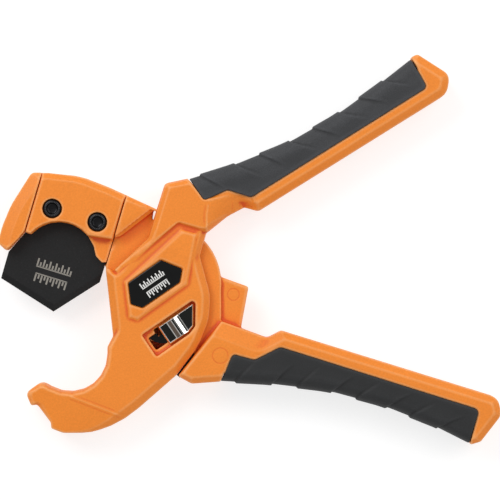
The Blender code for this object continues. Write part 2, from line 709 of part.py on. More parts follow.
def shell_screw(number, spot):
    """A screw from the rear half into the front half."""
    node = turned("body_screw_%d" % number, (
        (0.0, MID + 5.5), (SHELL_SHANK_RADIUS, MID + 5.5), (SHELL_SHANK_RADIUS, 4.7),
        (SHELL_HEAD_RADIUS, 4.7), (SHELL_HEAD_RADIUS, 3.2), (1.9, 2.3), (1.2, 2.3), (1.1, 3.4),
        (0.0, 3.4)), spot, 16)
    return add(node, black_steel())


def pivot_pin():
    node = turned("pivot_pin", (
        (0.0, MID + PIN_HALF), (PIN_RADIUS - 0.6, MID + PIN_HALF), (PIN_RADIUS, MID + PIN_HALF - 0.6),
        (PIN_RADIUS, MID - PIN_HALF + 0.6), (PIN_RADIUS - 0.6, MID - PIN_HALF), (0.0, MID - PIN_HALF)))
    return add(node, bright_steel())


def hub_bushing():
    low, high = MID - HUB_HALF, MID + HUB_HALF
    node = ring_cutter("hub_bushing", PIN_RADIUS + GAP, BUSH_RADIUS, low, high)
    return add(node, bright_steel())


def return_spring():
    """A torsion spring round the bushing, in the hub's groove."""
    rise = SPRING_WIRE + 0.35
    steps = 20
    curve = bpy.data.curves.new("return_spring", "CURVE")
    curve.dimensions = "3D"
    curve.bevel_depth = SPRING_WIRE / 2 * MM
    curve.bevel_resolution = 2
    curve.use_fill_caps = True
    spline = curve.splines.new("POLY")
    spline.points.add(SPRING_TURNS * steps)
    start = MID - HUB_HALF + 1.2 + GAP + SPRING_WIRE / 2
    for i, point in enumerate(spline.points):
        angle = 2 * math.pi * i / steps
        point.co = (SPRING_RADIUS * math.cos(angle) * MM, SPRING_RADIUS * math.sin(angle) * MM,
                    (start + rise * i / steps) * MM, 1.0)
    return add(mesh_of(curve, Vector()), bright_steel())


def badge(name, side):
    low, high = span(side, PANEL_HALF - 0.6, NECK_HALF)
    levels = ((low, 0.0), (high - 0.2, 0.0), (high, 0.2))
    if side < 0:
        levels = ((low, 0.2), (low + 0.2, 0.0), (high, 0.0))
    return add(loft(name, BADGE, levels), badge_black())


def lock_slide():
    """The chrome lock button, with a raised rib across it, in the front shell's window."""
    base = MID + LOCK_FLOOR + GAP
    node = loft("lock_slide", LOCK_SLIDE, (
        (base, 0.0), (base + 1.6, 0.0), (base + 2.3, 0.9)))
    rib = [(5.3, -15.2, 0.0, 1.0), (10.1, -23.2, 0.3, 1.0), (12.4, -21.7, 0.3, 1.0),
           (8.2, -13.3, 0.3, 1.0)]
    ridge = loft("rib", rib, ((base + 0.5, 0.0), (base + 2.4, 0.0), (base + 3.0, 0.4)))
    combine(node, [ridge], "UNION", "MANIFOLD")
    bore = cylinder("pin_bore", LOCK_PIN_RADIUS + GAP, base - 1.0, base + 1.2, LOCK_PIN_PLACE, 20)
    combine(node, [bore], "DIFFERENCE", "MANIFOLD")
    return add(node, chrome(), (*LOCK_PIN_PLACE, base))


def lock_pin():
    top = MID + LOCK_FLOOR + GAP + 0.9
    node = cylinder("lock_pin", LOCK_PIN_RADIUS, MID - 3.5, top, LOCK_PIN_PLACE, 20)
    return add(node, bright_steel(), (*LOCK_PIN_PLACE, top))


def build():
    for old in list(bpy.data.objects):
        bpy.data.objects.remove(old)
    for name in ("pvc_pipe_cutter", "cutters"):
        collection = bpy.data.collections.new(name)
        bpy.context.scene.collection.children.link(collection)
    shell("body_front_half", 1)
    shell("body_rear_half", -1)
    upper_grip()
    pivot_pin()
    badge("front_badge", 1)
    badge("rear_badge", -1)
    return_spring()
    for number, spot in enumerate(SHELL_SCREWS, 1):
        shell_screw(number, spot)
    lever = [lever_casting(), hub_bushing(), blade_clamp_plate(), blade(), lower_grip()]
    lever += [clamp_screw(number, spot) for number, spot in enumerate(CLAMP_SCREWS, 1)]
    lock = [lock_slide(), lock_pin()]
    for node in lever + lock:
        node.data.update()


build()
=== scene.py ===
import math

import bmesh
import bpy
import numpy as np
from mathutils import Matrix, Vector


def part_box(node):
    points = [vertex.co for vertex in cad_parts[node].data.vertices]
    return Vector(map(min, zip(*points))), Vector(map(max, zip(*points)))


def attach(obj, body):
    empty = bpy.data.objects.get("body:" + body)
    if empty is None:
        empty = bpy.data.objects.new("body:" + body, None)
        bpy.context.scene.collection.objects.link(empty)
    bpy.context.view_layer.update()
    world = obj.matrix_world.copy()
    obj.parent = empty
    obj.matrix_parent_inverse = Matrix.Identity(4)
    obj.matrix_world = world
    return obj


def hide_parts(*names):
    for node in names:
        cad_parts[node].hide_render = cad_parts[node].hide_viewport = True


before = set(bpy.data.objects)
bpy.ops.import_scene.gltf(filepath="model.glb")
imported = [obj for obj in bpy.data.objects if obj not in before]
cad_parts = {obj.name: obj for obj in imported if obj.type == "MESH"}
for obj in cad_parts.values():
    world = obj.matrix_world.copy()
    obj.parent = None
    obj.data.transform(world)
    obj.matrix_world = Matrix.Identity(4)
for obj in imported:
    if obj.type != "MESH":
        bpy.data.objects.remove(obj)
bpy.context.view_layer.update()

mm = 0.001
midPlane = 12.0  # the parting plane of the two half shells


def linear(hexColour):
    # sRGB hex to linear RGBA
    parts = [int(hexColour[i:i + 2], 16) / 255 for i in (0, 2, 4)]
    return tuple([((c + 0.055) / 1.055) ** 2.4 if c > 0.04045 else c / 12.92 for c in parts] + [1.0])


def darker(hexColour, share):
    return tuple(c * share for c in linear(hexColour)[:3]) + (1,)


def addNode(tree, kind, settings=None, values=None, links=None):
    # adds a node, sets its options and input values, and links its inputs from (node, output) pairs
    node = tree.nodes.new(kind)
    for key, value in (settings or {}).items():
        setattr(node, key, value)
    for key, value in (values or {}).items():
        node.inputs[key].default_value = value
    for key, (source, output) in (links or {}).items():
        tree.links.new(source.outputs[output], node.inputs[key])
    return node


def newMaterial(name, base, roughness, metallic=0.0):
    # a bare Principled material, returned with its tree and shader
    material = bpy.data.materials.new(name)
    material.use_nodes = True
    shader = material.node_tree.nodes["Principled BSDF"]
    shader.inputs["Base Color"].default_value = linear(base)
    shader.inputs["Roughness"].default_value = roughness
    shader.inputs["Metallic"].default_value = metallic
    return material, material.node_tree, shader


def ramp(tree, source, output, stops):
    # a colour ramp with (place, colour) stops, fed by one output
    node = addNode(tree, "ShaderNodeValToRGB", links={"Fac": (source, output)})
    while len(node.color_ramp.elements) < len(stops):
        node.color_ramp.elements.new(0.5)
    for element, (place, colour) in zip(node.color_ramp.elements, stops):
        element.position = place
        element.color = colour
    return node


def blend(tree, mode, first, second, share=1.0):
    # mixes two colours, each a (node, output) pair
    return addNode(tree, "ShaderNodeMix", {"data_type": "RGBA", "blend_type": mode}, {0: share},
                   {6: first, 7: second})


def lineCrossing(first, second):
    # where two (point, direction) lines meet
    (p, d), (q, e) = first, second
    across = d.x * e.y - d.y * e.x
    if abs(across) < 1e-6:
        return q
    return p + d * (((q - p).x * e.y - (q - p).y * e.x) / across)


def ring(corners, inset=0.0, arcStep=7.0):
    # the points of an anticlockwise outline, its edges moved inwards by the inset times their shares;
    # a corner is x, y, rounding radius and the share of the edge that follows it
    count = len(corners)
    spots = [Vector(c[:2]) for c in corners]
    lines = []
    for i, corner in enumerate(corners):
        along = (spots[(i + 1) % count] - spots[i]).normalized()
        lines.append((spots[i] + Vector((-along.y, along.x)) * inset * corner[3], along))
    points = []
    for i, corner in enumerate(corners):
        before, after = lines[i - 1][1], lines[i][1]
        spot = lineCrossing(lines[i - 1], lines[i])
        turn = math.atan2(before.x * after.y - before.y * after.x, before.dot(after))
        if corner[2] == 0.0 or abs(turn) < math.radians(1.0):
            points.append(spot)
            continue
        moved = inset * (corners[i - 1][3] + corner[3]) / 2
        radius = max(corner[2] - math.copysign(moved, turn), 0.05)
        start = spot - before * radius * math.tan(abs(turn) / 2)
        centre = start + Vector((-before.y, before.x)) * radius * math.copysign(1.0, turn)
        steps = max(1, math.ceil(math.degrees(abs(turn)) / arcStep))
        points += [centre + Matrix.Rotation(turn * k / steps, 2) @ (start - centre) for k in range(steps + 1)]
    return points


def loft(name, corners, levels):
    # a closed solid through the outline at each (height, inset), lowest first
    rings = [ring(corners, inset) for _, inset in levels]
    count = len(rings[0])
    work = bmesh.new()
    grid = [[work.verts.new((p.x * mm, p.y * mm, z * mm)) for p in points]
            for points, (z, _) in zip(rings, levels)]
    work.faces.new(list(reversed(grid[0])))
    work.faces.new(grid[-1])
    for low, high in zip(grid, grid[1:]):
        for i in range(count):
            j = (i + 1) % count
            work.faces.new((low[i], low[j], high[j], high[i]))
    return asObject(name, work)


def asObject(name, work):
    # a scene object from a bmesh, which is used up
    mesh = bpy.data.meshes.new(name)
    work.to_mesh(mesh)
    work.free()
    piece = bpy.data.objects.new(name, mesh)
    bpy.context.scene.collection.objects.link(piece)
    return piece


def roundOver(half, drop, inset, steps=6):
    # loft levels of a plate about the parting plane whose faces curve down to its sides
    top = []
    for k in range(steps + 1):
        angle = math.radians(90.0 * k / steps)
        top.append((midPlane + half - drop * (1 - math.sin(angle)), inset * (1 - math.cos(angle))))
    return [(2 * midPlane - z, i) for z, i in reversed(top)] + top


def turned(name, profile, place=(0.0, 0.0), sides=48):
    # a closed solid about +Z from (radius, height) points, top to bottom; a third value makes a hexagon
    work = bmesh.new()
    rows = []
    for radius, height, *hexagon in profile:
        if radius == 0.0:
            rows.append([work.verts.new((place[0] * mm, place[1] * mm, height * mm))])
            continue
        row = []
        for k in range(sides):
            angle = 2 * math.pi * k / sides
            reach = radius
            if hexagon:
                reach = radius / math.cos((angle + math.radians(hexagon[0])) % (math.pi / 3) - math.pi / 6)
            x, y = place[0] + reach * math.cos(angle), place[1] + reach * math.sin(angle)
            row.append(work.verts.new((x * mm, y * mm, height * mm)))
        rows.append(row)
    for upper, lower in zip(rows, rows[1:]):
        for k in range(sides):
            n = (k + 1) % sides
            corners = [row[i % len(row)] for row, i in ((upper, k), (lower, k), (lower, n), (upper, n))]
            unique = list(dict.fromkeys(corners))  # a point at the axis counts once
            if len(unique) > 2:
                work.faces.new(unique)
    return asObject(name, work)


def tilted(spots, degrees):
    # spots turned about the hub's axis, with what follows their x and y kept
    swing = Matrix.Rotation(math.radians(degrees), 2)
    return [(*(swing @ Vector(s[:2])), *s[2:]) for s in spots]


def baked(piece):
    # replaces an object by a plain mesh of what its modifiers show
    graph = bpy.context.evaluated_depsgraph_get()
    mesh = bpy.data.meshes.new_from_object(piece.evaluated_get(graph))
    piece.modifiers.clear()
    piece.data = mesh
    return piece


def combine(piece, tools, operation):
    # joins or cuts a piece with other solids, which are used up
    for tool in tools:
        step = piece.modifiers.new("step", "BOOLEAN")
        step.operation = operation
        step.solver = "MANIFOLD"
        step.object = tool
    baked(piece)
    for tool in tools:
        bpy.data.objects.remove(tool)
    return piece


def copyOf(node, name):
    # a merged copy of a CAD node's mesh
    work = bmesh.new()
    work.from_mesh(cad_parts[node].data)
    bmesh.ops.remove_doubles(work, verts=work.verts, dist=1e-6)
    return asObject(name, work)


def soften(piece, voxel, rounds, factor=0.5):
    # the soft edges of a casting or moulding: even small faces, relaxed a little
    remesh = piece.modifiers.new("cast", "REMESH")
    remesh.mode = "VOXEL"
    remesh.voxel_size = voxel * mm
    remesh.use_smooth_shade = True
    relax = piece.modifiers.new("relax", "SMOOTH")
    relax.factor = factor
    relax.iterations = rounds
    baked(piece)
    piece.data.shade_smooth()
    return piece


def readPoints(mesh, kind="co"):
    values = np.empty(len(mesh.vertices) * 3)
    mesh.vertices.foreach_get(kind, values)
    return values.reshape(-1, 3)


def readEdges(mesh):
    edges = np.empty(len(mesh.edges) * 2, dtype=np.int64)
    mesh.edges.foreach_get("vertices", edges)
    return edges.reshape(-1, 2)


def writePoints(mesh, spots):
    mesh.vertices.foreach_set("co", spots.ravel())
    mesh.update()


def eased(share):
    # a straight rise from 0 to 1, made smooth at both ends
    return share * share * (3 - 2 * share)


def neighbourMean(values, edges, count):
    # each vertex's mean over its neighbours
    total = np.zeros((count,) + values.shape[1:])
    tally = np.zeros(count)
    for a, b in ((0, 1), (1, 0)):
        np.add.at(total, edges[:, a], values[edges[:, b]])
        np.add.at(tally, edges[:, a], 1)
    return total / np.maximum(tally, 1).reshape((-1,) + (1,) * (values.ndim - 1))


def markEdges(piece, gain, rounds=3):
    # writes how far each point stands out from its neighbours, for the painted highlight on edges and painted
    # shade in hollows
    mesh = piece.data
    count = len(mesh.vertices)
    spots, normals, edges = readPoints(mesh), readPoints(mesh, "normal"), readEdges(mesh)
    wide = spots
    for _ in range(rounds):
        wide = neighbourMean(wide, edges, count)
    stand = ((spots - wide) * normals).sum(axis=1) / mm
    stand = np.sign(stand) * np.sqrt(np.abs(stand))  # so that low ridges show as well as sharp edges
    for _ in range(2):
        stand = (stand + neighbourMean(stand, edges, count)) / 2
    attribute = mesh.attributes.new("standOut", "FLOAT", "POINT")
    attribute.data.foreach_set("value", np.clip(0.5 + stand * gain, 0.0, 1.0).astype(np.float32))
    return piece


def finish(piece, material, body, node):
    # gives a piece its material and its body, and hides the CAD node it stands for
    piece.data.materials.clear()
    piece.data.materials.append(material)
    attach(piece, body)
    if node:
        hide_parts(node)
    return piece


def orangePowderCoat():
    # powder coat on cast aluminium: satin, a fine orange peel, with painted highlight on its edges and painted
    # shade in its hollows and recesses
    # edge is the painted highlight colour for convex edges; hollow, deep and sheltered are painted shade colours
    coat = {"face": "EE882B", "edge": "F5AD6B", "hollow": "DC5A18", "deepShade": "2A0C02", "shelteredShade": "E88855",
            "peelMm": 0.9, "grainMm": 0.25, "reachMm": 7.0}
    material, tree, shader = newMaterial("orangePowderCoat", coat["face"], 0.46)
    shader.inputs["Specular IOR Level"].default_value = 0.35
    place = addNode(tree, "ShaderNodeTexCoord")
    rim = addNode(tree, "ShaderNodeAttribute", {"attribute_name": "standOut"})
    grain = addNode(tree, "ShaderNodeTexNoise", values={"Scale": 1000 / coat["grainMm"] / 3, "Detail": 2.0},
                    links={"Vector": (place, "Object")})
    peel = addNode(tree, "ShaderNodeTexNoise", values={"Scale": 1000 / coat["peelMm"], "Detail": 1.0},
                   links={"Vector": (place, "Object")})
    cloud = addNode(tree, "ShaderNodeTexNoise", values={"Scale": 60.0, "Detail": 2.0},
                    links={"Vector": (place, "Object")})
    # painted highlight where a point stands out, painted shade where it lies in a hollow
    stops = ramp(tree, rim, "Fac", [
        (0.31, linear(coat["hollow"])), (0.46, linear(coat["face"])), (0.62, linear(coat["face"])),
        (0.86, linear(coat["edge"]))])
    # painted shade: the coat is darkened and reddened where ambient occlusion finds it sheltered
    shelter = addNode(tree, "ShaderNodeAmbientOcclusion", {"samples": 8, "only_local": True},
                      {"Distance": coat["reachMm"] * mm})
    shade = ramp(tree, shelter, "AO", [
        (0.04, linear(coat["deepShade"])), (0.3, linear(coat["shelteredShade"])), (0.75, (1, 1, 1, 1))])
    speckle = ramp(tree, grain, "Fac", [(0.3, (0.93, 0.93, 0.93, 1)), (0.7, (1.04, 1.04, 1.04, 1))])
    tint = ramp(tree, cloud, "Fac", [(0.3, (0.98, 0.97, 0.96, 1)), (0.7, (1.02, 1.02, 1.03, 1))])
    first = blend(tree, "MULTIPLY", (stops, "Color"), (speckle, "Color"))
    second = blend(tree, "MULTIPLY", (first, 2), (tint, "Color"))
    third = blend(tree, "MULTIPLY", (second, 2), (shade, "Color"))
    tree.links.new(third.outputs[2], shader.inputs["Base Color"])
    rough = addNode(tree, "ShaderNodeMapRange", values={"To Min": 0.4, "To Max": 0.56},
                    links={"Value": (grain, "Fac")})
    tree.links.new(rough.outputs["Result"], shader.inputs["Roughness"])
    waves = addNode(tree, "ShaderNodeBump", values={"Strength": 0.16, "Distance": 0.0002},
                    links={"Height": (peel, "Fac")})
    fine = addNode(tree, "ShaderNodeBump", values={"Strength": 0.2, "Distance": 0.0001},
                   links={"Height": (grain, "Fac"), "Normal": (waves, "Normal")})
    tree.links.new(fine.outputs["Normal"], shader.inputs["Normal"])
    return material


def gripRubber(name, base, light):
    # soft overmoulded rubber: dull, with a fine spark-eroded grain that catches light, painted lighter on raised
    # edges and darker in creases
    material, tree, shader = newMaterial(name, base, 0.7)
    place = addNode(tree, "ShaderNodeTexCoord")
    grain = addNode(tree, "ShaderNodeTexNoise", values={"Scale": 2200.0, "Detail": 3.0, "Roughness": 0.6},
                    links={"Vector": (place, "Object")})
    worn = addNode(tree, "ShaderNodeTexNoise", values={"Scale": 90.0, "Detail": 3.0},
                   links={"Vector": (place, "Object")})
    rim = addNode(tree, "ShaderNodeAttribute", {"attribute_name": "standOut"})
    colour = ramp(tree, grain, "Fac", [(0.35, linear(base)), (0.72, linear(light))])
    # painted highlight on edges that stand out and painted shade in creases
    edge = ramp(tree, rim, "Fac", [(0.1, (0.45, 0.45, 0.45, 1)), (0.5, (1, 1, 1, 1)), (0.9, (1.9, 1.9, 1.9, 1))])
    wear = ramp(tree, worn, "Fac", [(0.3, (0.9, 0.9, 0.9, 1)), (0.7, (1.1, 1.1, 1.1, 1))])
    first = blend(tree, "MULTIPLY", (colour, "Color"), (edge, "Color"))
    second = blend(tree, "MULTIPLY", (first, 2), (wear, "Color"))
    tree.links.new(second.outputs[2], shader.inputs["Base Color"])
    bump = addNode(tree, "ShaderNodeBump", values={"Strength": 0.35, "Distance": 0.0001},
                   links={"Height": (grain, "Fac")})
    tree.links.new(bump.outputs["Normal"], shader.inputs["Normal"])
    return material


def coatedBladeSteel():
    # non-stick coating over ground steel: near black, sprayed, with a faint pale speckle
    material, tree, shader = newMaterial("coatedBladeSteel", "101011", 0.5)
    shader.inputs["Specular IOR Level"].default_value = 0.3
    place = addNode(tree, "ShaderNodeTexCoord")
    spray = addNode(tree, "ShaderNodeTexNoise", values={"Scale": 1500.0, "Detail": 3.0},
                    links={"Vector": (place, "Object")})
    dust = addNode(tree, "ShaderNodeTexVoronoi", values={"Scale": 900.0}, links={"Vector": (place, "Object")})
    base = ramp(tree, spray, "Fac", [(0.3, linear("0C0C0D")), (0.7, linear("151516"))])
    dots = ramp(tree, dust, "Distance", [(0.05, (0.05, 0.05, 0.05, 1)), (0.16, (0, 0, 0, 1))])
    colour = blend(tree, "ADD", (base, "Color"), (dots, "Color"), 0.4)
    tree.links.new(colour.outputs[2], shader.inputs["Base Color"])
    bump = addNode(tree, "ShaderNodeBump", values={"Strength": 0.25, "Distance": 0.00005},
                   links={"Height": (spray, "Fac")})
    tree.links.new(bump.outputs["Normal"], shader.inputs["Normal"])
    return material


def brushedMetal(name, base, roughness, scratchMm, spread=0.08, metallic=1.0):
    # plated or bare metal with fine lines left by grinding
    material, tree, shader = newMaterial(name, base, roughness, metallic)
    place = addNode(tree, "ShaderNodeTexCoord")
    turn = addNode(tree, "ShaderNodeMapping", values={"Scale": (1.0, 14.0, 14.0), "Rotation": (0, 0, 0.6)},
                   links={"Vector": (place, "Object")})
    lines = addNode(tree, "ShaderNodeTexNoise", values={"Scale": 100 / scratchMm, "Detail": 3.0},
                    links={"Vector": (turn, "Vector")})
    rough = addNode(tree, "ShaderNodeMapRange", links={"Value": (lines, "Fac")},
                    values={"To Min": roughness - spread, "To Max": roughness + spread})
    tree.links.new(rough.outputs["Result"], shader.inputs["Roughness"])
    tone = ramp(tree, lines, "Fac", [(0.3, darker(base, 0.86)), (0.7, linear(base))])
    tree.links.new(tone.outputs["Color"], shader.inputs["Base Color"])
    bump = addNode(tree, "ShaderNodeBump", values={"Strength": 0.08, "Distance": 0.00005},
                   links={"Height": (lines, "Fac")})
    tree.links.new(bump.outputs["Normal"], shader.inputs["Normal"])
    return material


def printedPlastic(name, base, roughness):
    # glossy moulded or printed plastic with faint clouding in its gloss
    material, tree, shader = newMaterial(name, base, roughness)
    place = addNode(tree, "ShaderNodeTexCoord")
    cloud = addNode(tree, "ShaderNodeTexNoise", values={"Scale": 400.0, "Detail": 2.0},
                    links={"Vector": (place, "Object")})
    rough = addNode(tree, "ShaderNodeMapRange", values={"To Min": roughness * 0.8, "To Max": roughness * 1.3},
                    links={"Value": (cloud, "Fac")})
    tree.links.new(rough.outputs["Result"], shader.inputs["Roughness"])
    tone = ramp(tree, cloud, "Fac", [(0.3, darker(base, 0.85)), (0.7, linear(base))])
    tree.links.new(tone.outputs["Color"], shader.inputs["Base Color"])
    return material


orangeCoat = orangePowderCoat()
upperRubber = gripRubber("gripRubberUpper", "2A2B2D", "38393C")
lowerRubber = gripRubber("gripRubberLower", "161718", "212224")
bladeCoat = coatedBladeSteel()
blackOxide = brushedMetal("blackOxideSteel", "2B2B2D", 0.3, 0.3, 0.08)
rubbedSteel = brushedMetal("rubbedOxideSteel", "6C6C6E", 0.35, 0.3)
zincSteel = brushedMetal("zincPlatedSteel", "B9B9B6", 0.32, 0.3)
chromePlate = brushedMetal("chromePlate", "EDEBE6", 0.12, 0.4, 0.04)
# browner and darker copies of the chrome: painted shade and dark reflection on the lock button
paintedWarmChrome = brushedMetal("chromePaintedWarm", "7B6C61", 0.4, 0.2)
paintedDarkChrome = brushedMetal("chromePaintedDark", "30312F", 0.28, 0.15, 0.08)
badgeBlack = printedPlastic("badgeGlossBlack", "060707", 0.2)
badgeBlack.node_tree.nodes["Principled BSDF"].inputs["Specular IOR Level"].default_value = 0.25
etchedGrey = printedPlastic("laserEtchedGrey", "8E8A82", 0.6)
badgeWhite = printedPlastic("badgeWhiteInk", "E9E9E6", 0.4)
print("materials ready")


# the castings are the CAD solids with the soft edges and low marks that the mould leaves
castings = {"voxelMm": 0.42, "relaxRounds": 7, "edgeGain": 0.95, "ringMm": 0.09, "triangles": 150000}


def alongCurve(points, spots):
    # for each spot: how far along the polyline its nearest point is, and how far off it is
    points = np.array(points)
    best = np.full(len(spots), 1e9)
    along = np.zeros(len(spots))
    run = 0.0
    for a, b in zip(points, points[1:]):
        edge = b - a
        length = np.linalg.norm(edge)
        share = np.clip(((spots - a) @ edge) / length ** 2, 0.0, 1.0)
        off = np.linalg.norm(spots - (a + share[:, None] * edge), axis=1)
        closer = off < best
        best = np.where(closer, off, best)
        along = np.where(closer, run + share * length, along)
        run += length
    return along, best


def stampRing(piece, place, radius):
    # the faint circle that an ejector pin leaves in a face
    for vertex in piece.data.vertices:
        off = math.hypot(vertex.co.x / mm - place[0], vertex.co.y / mm - place[1]) - radius
        if abs(off) < 0.6 and vertex.normal.z > 0.6:
            vertex.co.z -= castings["ringMm"] * (1 - (off / 0.6) ** 2) * mm


def meltCrease(piece, path, reach, rounds):
    # relaxes the front face near a path until its crease becomes a wide fillet
    mesh = piece.data
    count = len(mesh.vertices)
    spots, edges = readPoints(mesh), readEdges(mesh)
    _, off = alongCurve(path, spots[:, :2] / mm)
    weight = np.clip((reach - off) / (reach * 0.6), 0.0, 1.0) * (spots[:, 2] > midPlane * mm)
    near = np.flatnonzero(weight > 0)
    lookup = np.full(count, -1)
    lookup[near] = np.arange(len(near))
    inside = lookup[edges]
    inside = inside[(inside >= 0).all(axis=1)]
    patch = spots[near]
    for _ in range(rounds):
        lift = neighbourMean(patch[:, 2], inside, len(near)) - patch[:, 2]
        patch[:, 2] += lift * weight[near] * 0.8
    spots[near] = patch
    writePoints(mesh, spots)


def sinkNeck(piece, side):
    # the neck's broad twisted facet, from its ridge down to the outline under the grip
    spots = readPoints(piece.data)
    flat = spots[:, :2] / mm
    _, off = alongCurve(neckFacet["outline"], flat)
    start, finishAt = neckFacet["ridgeX"], neckFacet["fadeX"]
    away = np.clip((flat[:, 0] - start) / neckFacet["riseMm"], 0.0, 1.0)
    rise = 1 - (1 - away) ** 2  # steep at the ridge only
    fall = np.clip((flat[:, 0] - finishAt[0]) / (finishAt[1] - finishAt[0]), 0.0, 1.0)
    reach = np.clip(1 - off / neckFacet["reachMm"], 0.0, 1.0) ** 1.4
    height = side * (spots[:, 2] / mm - midPlane)
    lift = np.clip((height - 5.0) / 4.0, 0.0, 1.0)
    spots[:, 2] -= side * neckFacet["depthMm"] * mm * rise * (1 - eased(fall)) * reach * lift
    writePoints(piece.data, spots)


def stampRidge(piece, path, side):
    # the crest that the mould leaves where two facets meet
    spots = readPoints(piece.data)
    _, off = alongCurve(path, spots[:, :2] / mm)
    top = side * (spots[:, 2] / mm - midPlane) > 6.5
    spots[:, 2] += side * top * crest["heightMm"] * mm * np.clip(1 - (off / crest["halfMm"]) ** 2, 0.0, 1.0)
    writePoints(piece.data, spots)


crest = {"heightMm": 0.16, "halfMm": 0.75, "paths": (
    [(-16.0, -57.4), (-37.6, -49.1)], [(22.0, 24.5), (21.9, 30.0), (22.6, 34.5)])}
neckFacet = {"outline": [(21.6, 22.4), (31.2, 30.2), (37.8, 33.9), (46.0, 32.8)], "ridgeX": 22.0,
             "riseMm": 13.0, "fadeX": (36.0, 46.0), "reachMm": 9.5, "depthMm": 4.2}


def thinned(piece, most):
    # fewer triangles where the surface is flat
    share = most / (2 * len(piece.data.polygons))
    if share < 1:
        step = piece.modifiers.new("thin", "DECIMATE")
        step.ratio = share
        baked(piece)
    return piece


def casting(node, name, body, rings=(), creases=()):
    # a CAD casting with soft edges, its facets, fillets and marks
    piece = copyOf(node, name)
    soften(piece, castings["voxelMm"], castings["relaxRounds"])
    if body == "frame":
        side = 1 if node == "body_front_half" else -1
        sinkNeck(piece, side)
        for path in crest["paths"]:
            stampRidge(piece, path, side)
    for path, reach, rounds in creases:
        meltCrease(piece, path, reach, rounds)
    for place, radius in rings:
        stampRing(piece, place, radius)
    markEdges(piece, castings["edgeGain"])
    thinned(piece, castings["triangles"])
    return finish(piece, orangeCoat, body, node)


casting("body_front_half", "frontShell", "frame", (), (([(33.0, 33.5), (38.5, 35.5)], 4.0, 25),))
casting("body_rear_half", "rearShell", "frame")
headCrease = [(-32.0, 23.6), (-24.0, 20.6), (-16.4, 20.4), (-8.0, 26.5), (0.0, 33.5)]
casting("lever_casting", "leverCasting", "lever", (((27.9, -31.2), 3.4), ((33.6, -4.5), 2.6)),
        ((headCrease, 5.0, 70),))
casting("blade_clamp_plate", "clampBlock", "lever", (), ((headCrease, 3.5, 12),))
print("castings ready")


cover = {"half": 11.6, "drop": 5.5, "inset": 5.0, "widenMm": 0.55, "coreHalf": 6.8, "coreGrowMm": 0.3,
         "voxelMm": 0.45, "relaxRounds": 4, "edgeGain": 0.8}
# a grip's steps are where its bands start and end in turn, and their creases lie at the angle given
upperGrip = {
    "corners": [(14.2, 46.5, 0.4, 0.08), (20.9, 37.0, 1.6, 0.08), (31.0, 41.8, 2.5, 0.08),
                (41.4, 38.5, 2.5, 0.08), (117.9, 86.3, 2.2, 0.08), (111.0, 98.8, 0.8, 0.9),
                (98.0, 88.6, 30.0, 1.0), (79.0, 74.8, 60.0, 1.0), (57.0, 62.1, 60.0, 1.0),
                (33.0, 52.4, 60.0, 1.0)],
    "outer": [(14.2, 46.3), (33.0, 52.2), (57.0, 61.9), (79.0, 74.5), (98.0, 88.3), (111.0, 98.5)],
    "steps": [(18.9, 47.8), (34.1, 52.2), (45.1, 56.5), (58.1, 62.2), (68.6, 67.8), (80.0, 74.7),
              (89.2, 80.8), (98.9, 88.7)],
    "crease": -17.0, "heightMm": 0.36, "fadeMm": (2.0, 10.0),
    "core": [(16.6, 42.3), (16.0, 30.0), (41.0, 30.0), (121.0, 80.0), (114.5, 93.9), (98.6, 81.2),
             (84.4, 71.6), (66.5, 61.2), (50.0, 53.5), (34.0, 47.3)]}
lowerGrip = {
    "corners": [(28.2, -42.8, 0.4, 1.0), (49.0, -43.9, 60.0, 1.0), (75.0, -47.0, 60.0, 1.0),
                (99.6, -53.7, 60.0, 1.0), (122.3, -62.8, 30.0, 0.9), (136.6, -70.0, 0.8, 0.08),
                (140.7, -55.1, 2.2, 0.08), (54.2, -27.9, 2.2, 0.08), (43.0, -33.6, 2.2, 0.08),
                (33.6, -31.0, 1.8, 0.08)],
    "outer": [(28.9, -42.5), (49.0, -43.6), (75.0, -46.7), (99.6, -53.3), (122.3, -62.4), (136.6, -69.5)],
    "steps": [(34.3, -42.9), (50.2, -43.3), (61.3, -44.7), (76.2, -47.1), (87.3, -49.4), (100.4, -53.5),
              (110.9, -57.1), (122.8, -62.5)],
    "crease": 35.0, "heightMm": 0.36, "fadeMm": (2.0, 11.0),
    "core": [(29.6, -38.7), (50.0, -39.2), (75.0, -42.6), (99.0, -49.2), (121.0, -58.2),
             (138.0, -66.4), (146.0, -50.0), (54.0, -20.0), (30.0, -20.0)]}


def raiseBands(piece, grip):
    # moves each point out on a raised band and in between bands
    spots, normals = readPoints(piece.data), readPoints(piece.data, "normal")
    flat = spots[:, :2] / mm
    along, off = alongCurve(grip["outer"], flat)
    marks, _ = alongCurve(grip["outer"], np.array(grip["steps"]))
    first, last = np.array(grip["outer"][0]), np.array(grip["outer"][-1])
    heading = math.degrees(math.atan2(*(last - first)[::-1]))
    place = along - off / math.tan(math.radians(abs(grip["crease"] - heading)))
    height = np.full(len(spots), -1.0)
    for k, mark in enumerate(marks):
        rise = eased(np.clip((place - mark) / 0.6 + 0.5, 0.0, 1.0))
        height += 2 * rise if k % 2 == 0 else -2 * rise
    near, far = grip["fadeMm"]
    fade = eased(np.clip((far - off) / (far - near), 0.0, 1.0))
    spots += normals * (height * fade * grip["heightMm"] * mm)[:, None]
    writePoints(piece.data, spots)
    return piece


def widened(corners, amount):
    # moves the edges that lie in the casting's pocket outwards, to close the clearance there
    pushed = [(*c[:3], -1.0 if c[3] < 0.5 else 0.0) for c in corners]
    lines = []
    for i, corner in enumerate(pushed):
        spot = Vector(corner[:2])
        along = (Vector(pushed[(i + 1) % len(pushed)][:2]) - spot).normalized()
        lines.append((spot + Vector((-along.y, along.x)) * amount * corner[3], along))
    return [(*lineCrossing(lines[i - 1], lines[i]), *corner[2:]) for i, corner in enumerate(corners)]


